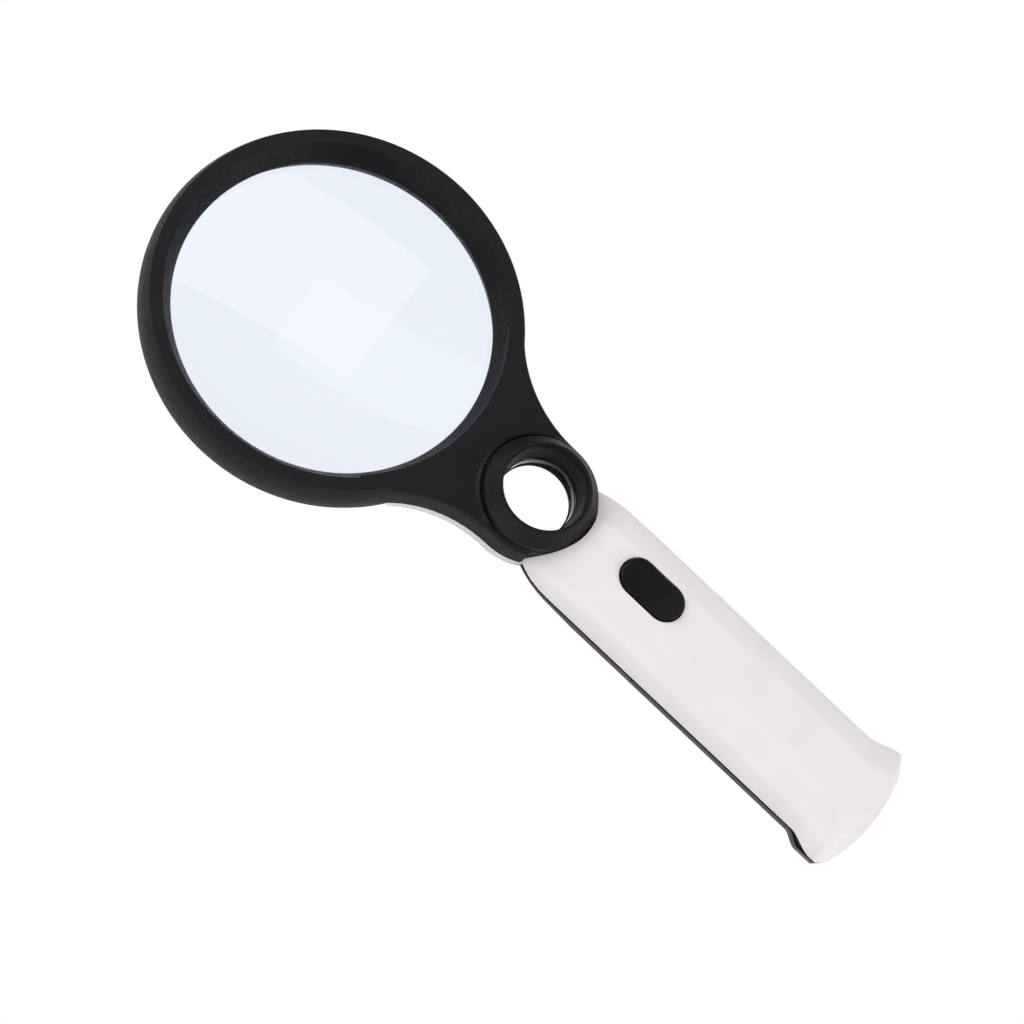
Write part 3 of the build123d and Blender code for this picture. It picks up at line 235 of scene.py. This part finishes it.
SLEEVE_ACCENT = (0.02, 0.09, 0.30)
SLEEVE_BANDS = [
    (0.0, SLEEVE_DARK),
    (0.16, SLEEVE_LIGHT),
    (0.19, SLEEVE_ACCENT),
    (0.78, SLEEVE_LIGHT),
    (0.81, SLEEVE_DARK),
]
SLEEVE = banded("cell_sleeve", SLEEVE_BANDS, (0.2, 0.28))

FINISH = {
    "head_frame": FRAME_BLACK,
    "small_lens_barrel": BARREL_BLACK,
    "main_lens_ring": BARREL_BLACK,
    "battery_door": COVER_BLACK,
    "handle_rear_cover": COVER_BLACK,
    "switch_button": BUTTON_BLACK,
    "handle_front_cover": WHITE,
    "neck_cover": WHITE,
    "main_lens": LENS,
    "small_lens": SMALL_LENS,
    "small_lens_ring": RING_BLACK,
    "battery_tray": TRAY,
    "led_board": BOARD,
    "switch_board": BOARD,
    "switch_body": SWITCH,
    "switch_plunger": PLUNGER,
    "lamp_wire_red": RED,
    "lamp_wire_black": BLACK_WIRE,
    "resistor": TAN,
    "head_contacts": NICKEL,
    "tail_contacts": NICKEL,
    "handle_screws": STEEL,
    "neck_screws": STEEL,
    "tray_screws": STEEL,
}
FINISH.update({lamp: EPOXY for lamp in LAMPS})
FINISH.update({f"battery_{cell}": NICKEL for cell in CELLS})
FINISH.update({f"battery_spring_{cell}": SPRING for cell in CELLS})

# edge rounding of the moulded and machined pieces, in millimetres
ROUNDING = {
    "head_frame": 0.25,
    "small_lens_barrel": 0.12,
    "main_lens_ring": 0.12,
    "battery_door": 0.15,
    "handle_rear_cover": 0.15,
    "handle_front_cover": 0.25,
    "neck_cover": 0.2,
    "switch_button": 0.12,
    "small_lens_ring": 0.08,
    "battery_tray": 0.1,
    "head_contacts": 0.06,
    "tail_contacts": 0.06,
    "handle_screws": 0.06,
    "neck_screws": 0.06,
    "tray_screws": 0.06,
}


WELD_MM = 0.002  # points this close are joined, so that the faces of a CAD mesh share their edges
SHARP_ANGLE = radians(38)  # edges that turn by more than this are rounded


def soften(node, width_mm):
    """Rounds a CAD node's sharp edges without touching its mesh."""
    weld = node.modifiers.new("weld", "WELD")
    weld.merge_threshold = WELD_MM * MM
    bevel = node.modifiers.new("edge_rounding", "BEVEL")
    bevel.width = width_mm * MM
    bevel.segments = 3
    bevel.limit_method = "ANGLE"
    bevel.angle_limit = SHARP_ANGLE
    bevel.use_clamp_overlap = True
    normals = node.modifiers.new("smooth_normals", "WEIGHTED_NORMAL")
    normals.keep_sharp = False
    normals.weight = 60


for name, material in FINISH.items():
    node = NODES[name]
    for material_slot in node.material_slots:
        material_slot.material = material
    if name in ROUNDING:
        soften(node, ROUNDING[name])


# ---------------------------------------------------------------- added detail
def middle(node):
    """Centre of a CAD node's box."""
    low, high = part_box(node)
    return (Vector(low) + Vector(high)) / 2


def add_piece(name, data, material):
    """A new object with one material, riding on the magnifier."""
    data.materials.append(material)
    piece = bpy.data.objects.new(name, data)
    bpy.context.scene.collection.objects.link(piece)
    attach(piece, BODY)
    return piece


def smooth_mesh(name, form):
    """Turns a bmesh into a smooth-shaded mesh."""
    mesh = bpy.data.meshes.new(name)
    form.to_mesh(mesh)
    form.free()
    mesh.shade_smooth()
    return mesh


def turned(form, profile, place, steps, turn=Matrix.Identity(3), capped=True):
    """Adds to form what a profile of (radius, height) points makes about an axis, Z unless turned."""
    rings = []
    for radius, height in profile:
        ring = []
        for step in range(steps):
            angle = 2 * pi * step / steps
            point = Vector((radius * cos(angle), radius * sin(angle), height))
            ring.append(form.verts.new(place + turn @ point))
        rings.append(ring)
    for lower, upper in zip(rings, rings[1:]):
        for step in range(steps):
            after = (step + 1) % steps
            form.faces.new((lower[step], lower[after], upper[after], upper[step]))
    if capped:
        form.faces.new(list(reversed(rings[0])))
        form.faces.new(rings[-1])


# spring's sizes, in millimetres
SPRING_WIRE_R = 0.24
SPRING_TIP_R = 2.0  # outside of the cone's small end
SPRING_TURNS = 5.0
SPRING_FLAT = 0.16  # part of the wire's length that lies flat at each end
SPRING_POINTS = 120


def coil_spring(cell):
    """Wire spring wound as a cone between a contact plate and a cell, with a flat turn at each end."""
    node = f"battery_spring_{cell}"
    low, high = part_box(node)
    axis = middle(node)
    away = 1 if axis.y < middle(f"battery_{cell}").y else -1
    wire_r = SPRING_WIRE_R * MM
    base_r = (high[0] - low[0]) / 2 - wire_r
    tip_r = SPRING_TIP_R * MM - wire_r
    travel = high[1] - low[1] - 2 * wire_r
    start_y = (low[1] if away > 0 else high[1]) + away * wire_r
    curve = bpy.data.curves.new(f"coil_spring_{cell}", "CURVE")
    curve.dimensions = "3D"
    curve.bevel_depth = wire_r
    curve.bevel_resolution = 3
    curve.use_fill_caps = True
    line = curve.splines.new("NURBS")
    line.points.add(SPRING_POINTS - 1)
    for index, point in enumerate(line.points):
        t = index / (SPRING_POINTS - 1)
        rise = min(1.0, max(0.0, (t - SPRING_FLAT) / (1 - 2 * SPRING_FLAT)))
        radius = base_r + (tip_r - base_r) * rise
        angle = 2 * pi * SPRING_TURNS * t
        point.co = (
            axis.x + radius * cos(angle),
            start_y + away * travel * rise,
            axis.z + radius * sin(angle),
            1.0,
        )
    line.order_u = 4
    line.use_endpoint_u = True
    spring = add_piece(f"coil_spring_{cell}", curve, SPRING)
    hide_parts(node)


# sleeve's sizes, in millimetres
SKIN_T = 0.02  # thickness
SLEEVE_EDGE = 0.40  # rounding over the can's edges
SLEEVE_CHAMFER = 0.3  # the rounding's middle point cuts the corner by this part of it
SLEEVE_TURN_IN = 0.8  # how far the sleeve reaches in over the can's ends
SLEEVE_LIFT = 0.03  # gap between the sleeve and the can's ends
CELL_NUB = 1.0  # height of a cell's positive pole
CELL_STEPS = 64
ALONG_Y = Matrix.Rotation(radians(-90), 3, "X")  # turns the Z axis to the Y axis


def cell_sleeve(cell):
    """Shrink sleeve of a cell: a thin skin round its can, turned in over both ends."""
    node = f"battery_{cell}"
    low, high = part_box(node)
    axis = middle(node)
    can_r = (high[0] - low[0]) / 2
    skin_r = can_r + SKIN_T * MM
    edge = SLEEVE_EDGE * MM
    mouth_r = can_r - SLEEVE_TURN_IN * MM - edge
    chamfer = SLEEVE_CHAMFER * edge
    lift = SLEEVE_LIFT * MM
    spring_is_behind = middle(f"battery_spring_{cell}").y < axis.y
    first = low[1] if spring_is_behind else low[1] + CELL_NUB * MM
    last = high[1] - CELL_NUB * MM if spring_is_behind else high[1]
    profile = [
        (mouth_r, first - lift),
        (can_r - edge, first - lift),
        (skin_r - chamfer, first + chamfer),
        (skin_r, first + edge),
        (skin_r, last - edge),
        (skin_r - chamfer, last - chamfer),
        (can_r - edge, last + lift),
        (mouth_r, last + lift),
    ]
    form = bmesh.new()
    turned(form, profile, Vector((axis.x, 0, axis.z)), CELL_STEPS, turn=ALONG_Y, capped=False)
    add_piece(f"cell_sleeve_{cell}", smooth_mesh(f"cell_sleeve_{cell}", form), SLEEVE)


# lamp's sizes, in millimetres; its tip points down, and its profiles are (radius, height) points
LEG_PITCH = 1.27  # from the lamp's axis to each leg
LEG_R = 0.27
LEG_FOOT = {-1: 3.1, 1: 3.6}  # height above the tip at which the leg on each side starts
LEG_PAST = 0.3  # the legs reach this far past the lamp's CAD solid
HEAD_OUT = 0.62  # the thicker head of each leg stands this far from the axis
HEAD = [(0.38, -0.4), (0.45, 0.5)]
CUP_OUT = 0.3  # the cup stands this far off the axis, on the -X side
CUP_UP = 2.2  # its rim above the tip
CUP = [(0.75, 0.0), (0.42, 0.9)]
DIE = [(0.62, 0.0), (0.5, -0.14), (0.28, -0.22)]
SOLDER_CONE = [(0.75, 0.0), (0.5, 0.15), (0.34, 0.42), (0.2, 0.62)]
LEG_STEPS = 12
CUP_STEPS = 20
SOLDER_STEPS = 16


def scaled(profile, base=0.0):
    """A profile of millimetres as metres, standing on the level base."""
    return [(radius * MM, base + height * MM) for radius, height in profile]


def lamp_inside(lamp):
    """Inside of a lamp: two legs with thicker heads, the cup below them and the die in its mouth."""
    low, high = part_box(lamp)
    axis = middle(lamp)
    form = bmesh.new()
    for side, foot in LEG_FOOT.items():
        foot_z = low[2] + foot * MM
        end_z = high[2] + LEG_PAST * MM
        leg = Vector((axis.x + side * LEG_PITCH * MM, axis.y, 0))
        turned(form, [(LEG_R * MM, foot_z), (LEG_R * MM, end_z)], leg, LEG_STEPS)
        head = Vector((axis.x + side * HEAD_OUT * MM, axis.y, 0))
        turned(form, scaled(HEAD, foot_z), head, LEG_STEPS)
    cup = Vector((axis.x - CUP_OUT * MM, axis.y, 0))
    rim_z = low[2] + CUP_UP * MM
    turned(form, scaled(CUP, rim_z), cup, CUP_STEPS)
    add_piece(f"{lamp}_frame", smooth_mesh(f"{lamp}_frame", form), SOLDER)
    die = bmesh.new()
    turned(die, scaled(DIE, rim_z), cup, CUP_STEPS)
    add_piece(f"{lamp}_die", smooth_mesh(f"{lamp}_die", die), PHOSPHOR)


def solder_joints():
    """Small cones of solder where the lamps' legs come through their board."""
    form = bmesh.new()
    board_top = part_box("led_board")[1][2]
    for lamp in LAMPS:
        axis = middle(lamp)
        for side in (-1, 1):
            place = Vector((axis.x + side * LEG_PITCH * MM, axis.y, board_top))
            turned(form, scaled(SOLDER_CONE), place, SOLDER_STEPS)
    add_piece("solder_joints", smooth_mesh("solder_joints", form), SOLDER)


for cell in CELLS:
    coil_spring(cell)
    cell_sleeve(cell)
for lamp in LAMPS:
    lamp_inside(lamp)
solder_joints()


# ---------------------------------------------------------------- floor, light and camera
FLOOR_GREY = (0.8, 0.8, 0.8)
LENS_LIFT = 0.08  # the floor seen through clear pieces is this much brighter


def floor(size):
    """Plain floor that reads as white, and gives back the light that falls on it."""
    mesh = bpy.data.meshes.new("floor")
    half = size / 2
    corners = [(-half, -half, 0), (half, -half, 0), (half, half, 0), (-half, half, 0)]
    mesh.from_pydata(corners, [], [(0, 1, 2, 3)])
    plane = bpy.data.objects.new("floor", mesh)
    bpy.context.scene.collection.objects.link(plane)
    material = new_material("floor_white", FLOOR_GREY, 0.9, specular=0.0)
    tree = material.node_tree
    rays = tree.nodes.new("ShaderNodeLightPath")
    either = tree.nodes.new("ShaderNodeMath")
    either.operation = "MAXIMUM"
    white = tree.nodes.new("ShaderNodeEmission")
    mix = tree.nodes.new("ShaderNodeMixShader")
    brighter = tree.nodes.new("ShaderNodeMath")
    brighter.operation = "MULTIPLY_ADD"
    brighter.inputs[1].default_value = LENS_LIFT
    brighter.inputs[2].default_value = 1.0
    tree.links.new(rays.outputs["Is Transmission Ray"], brighter.inputs[0])
    tree.links.new(brighter.outputs["Value"], white.inputs["Strength"])
    tree.links.new(rays.outputs["Is Camera Ray"], either.inputs[0])
    tree.links.new(rays.outputs["Is Transmission Ray"], either.inputs[1])
    tree.links.new(either.outputs["Value"], mix.inputs["Fac"])
    tree.links.new(shader_of(material).outputs["BSDF"], mix.inputs[1])
    tree.links.new(white.outputs["Emission"], mix.inputs[2])
    tree.links.new(mix.outputs["Shader"], tree.nodes["Material Output"].inputs["Surface"])
    mesh.materials.append(material)


def softbox(name, place, target, size, power, roll=0.0):
    """Rectangular area light at place, facing target, turned by roll degrees about its beam."""
    data = bpy.data.lights.new(name, "AREA")
    data.shape = "RECTANGLE"
    data.size, data.size_y = size
    data.energy = power
    light = bpy.data.objects.new(name, data)
    aim = Vector(target) - Vector(place)
    turn = aim.to_track_quat("-Z", "Y").to_matrix().to_4x4() @ Matrix.Rotation(radians(roll), 4, "Z")
    light.matrix_world = Matrix.Translation(place) @ turn
    bpy.context.scene.collection.objects.link(light)


def world(strength):
    """Even pale surround."""
    surround = bpy.data.worlds.new("studio")
    surround.use_nodes = True
    background = surround.node_tree.nodes["Background"]
    background.inputs["Color"].default_value = (1.0, 1.0, 1.0, 1.0)
    background.inputs["Strength"].default_value = strength
    bpy.context.scene.world = surround


CAMERA_LENS_MM = 112.5
CAMERA_PLACE = (-0.2954, 0.00535, 0.6519)
CAMERA_FORWARD = (0.4135, -0.0052, -0.9105)
CAMERA_RIGHT = (0.6231, -0.7275, 0.2872)


def camera():
    """Long lens, high over the object's left side, turned so that the handle runs down to the right."""
    data = bpy.data.cameras.new("camera")
    data.lens = CAMERA_LENS_MM
    data.sensor_width = 36.0
    view = bpy.data.objects.new("camera", data)
    forward = Vector(CAMERA_FORWARD)
    right = Vector(CAMERA_RIGHT).normalized()
    forward = (forward - right * forward.dot(right)).normalized()
    up = right.cross(forward)
    turn = Matrix((right, up, -forward)).transposed().to_4x4()
    view.matrix_world = Matrix.Translation(CAMERA_PLACE) @ turn
    bpy.context.scene.collection.objects.link(view)
    bpy.context.scene.camera = view


CENTRE = (0, 0, 0)
LENS_CENTRE = middle("main_lens")
CARD_PLACE = LENS_CENTRE + Vector((0.66, 0.50, 1.33))  # the main lens mirrors this one to the camera

floor(40.0)
world(0.46)
softbox("head_light", (-0.1, 1.35, 0.75), CENTRE, (1.2, 0.7), 12)
softbox("handle_light", (0.1, -1.3, 0.8), CENTRE, (1.2, 0.7), 12)
softbox("left_light", (-1.3, 0.1, 0.35), CENTRE, (1.2, 0.45), 4)
softbox("card", CARD_PLACE, LENS_CENTRE, (1.15, 0.62), 2.4, roll=-25)
camera()
bpy.context.scene.view_settings.view_transform = "Standard"
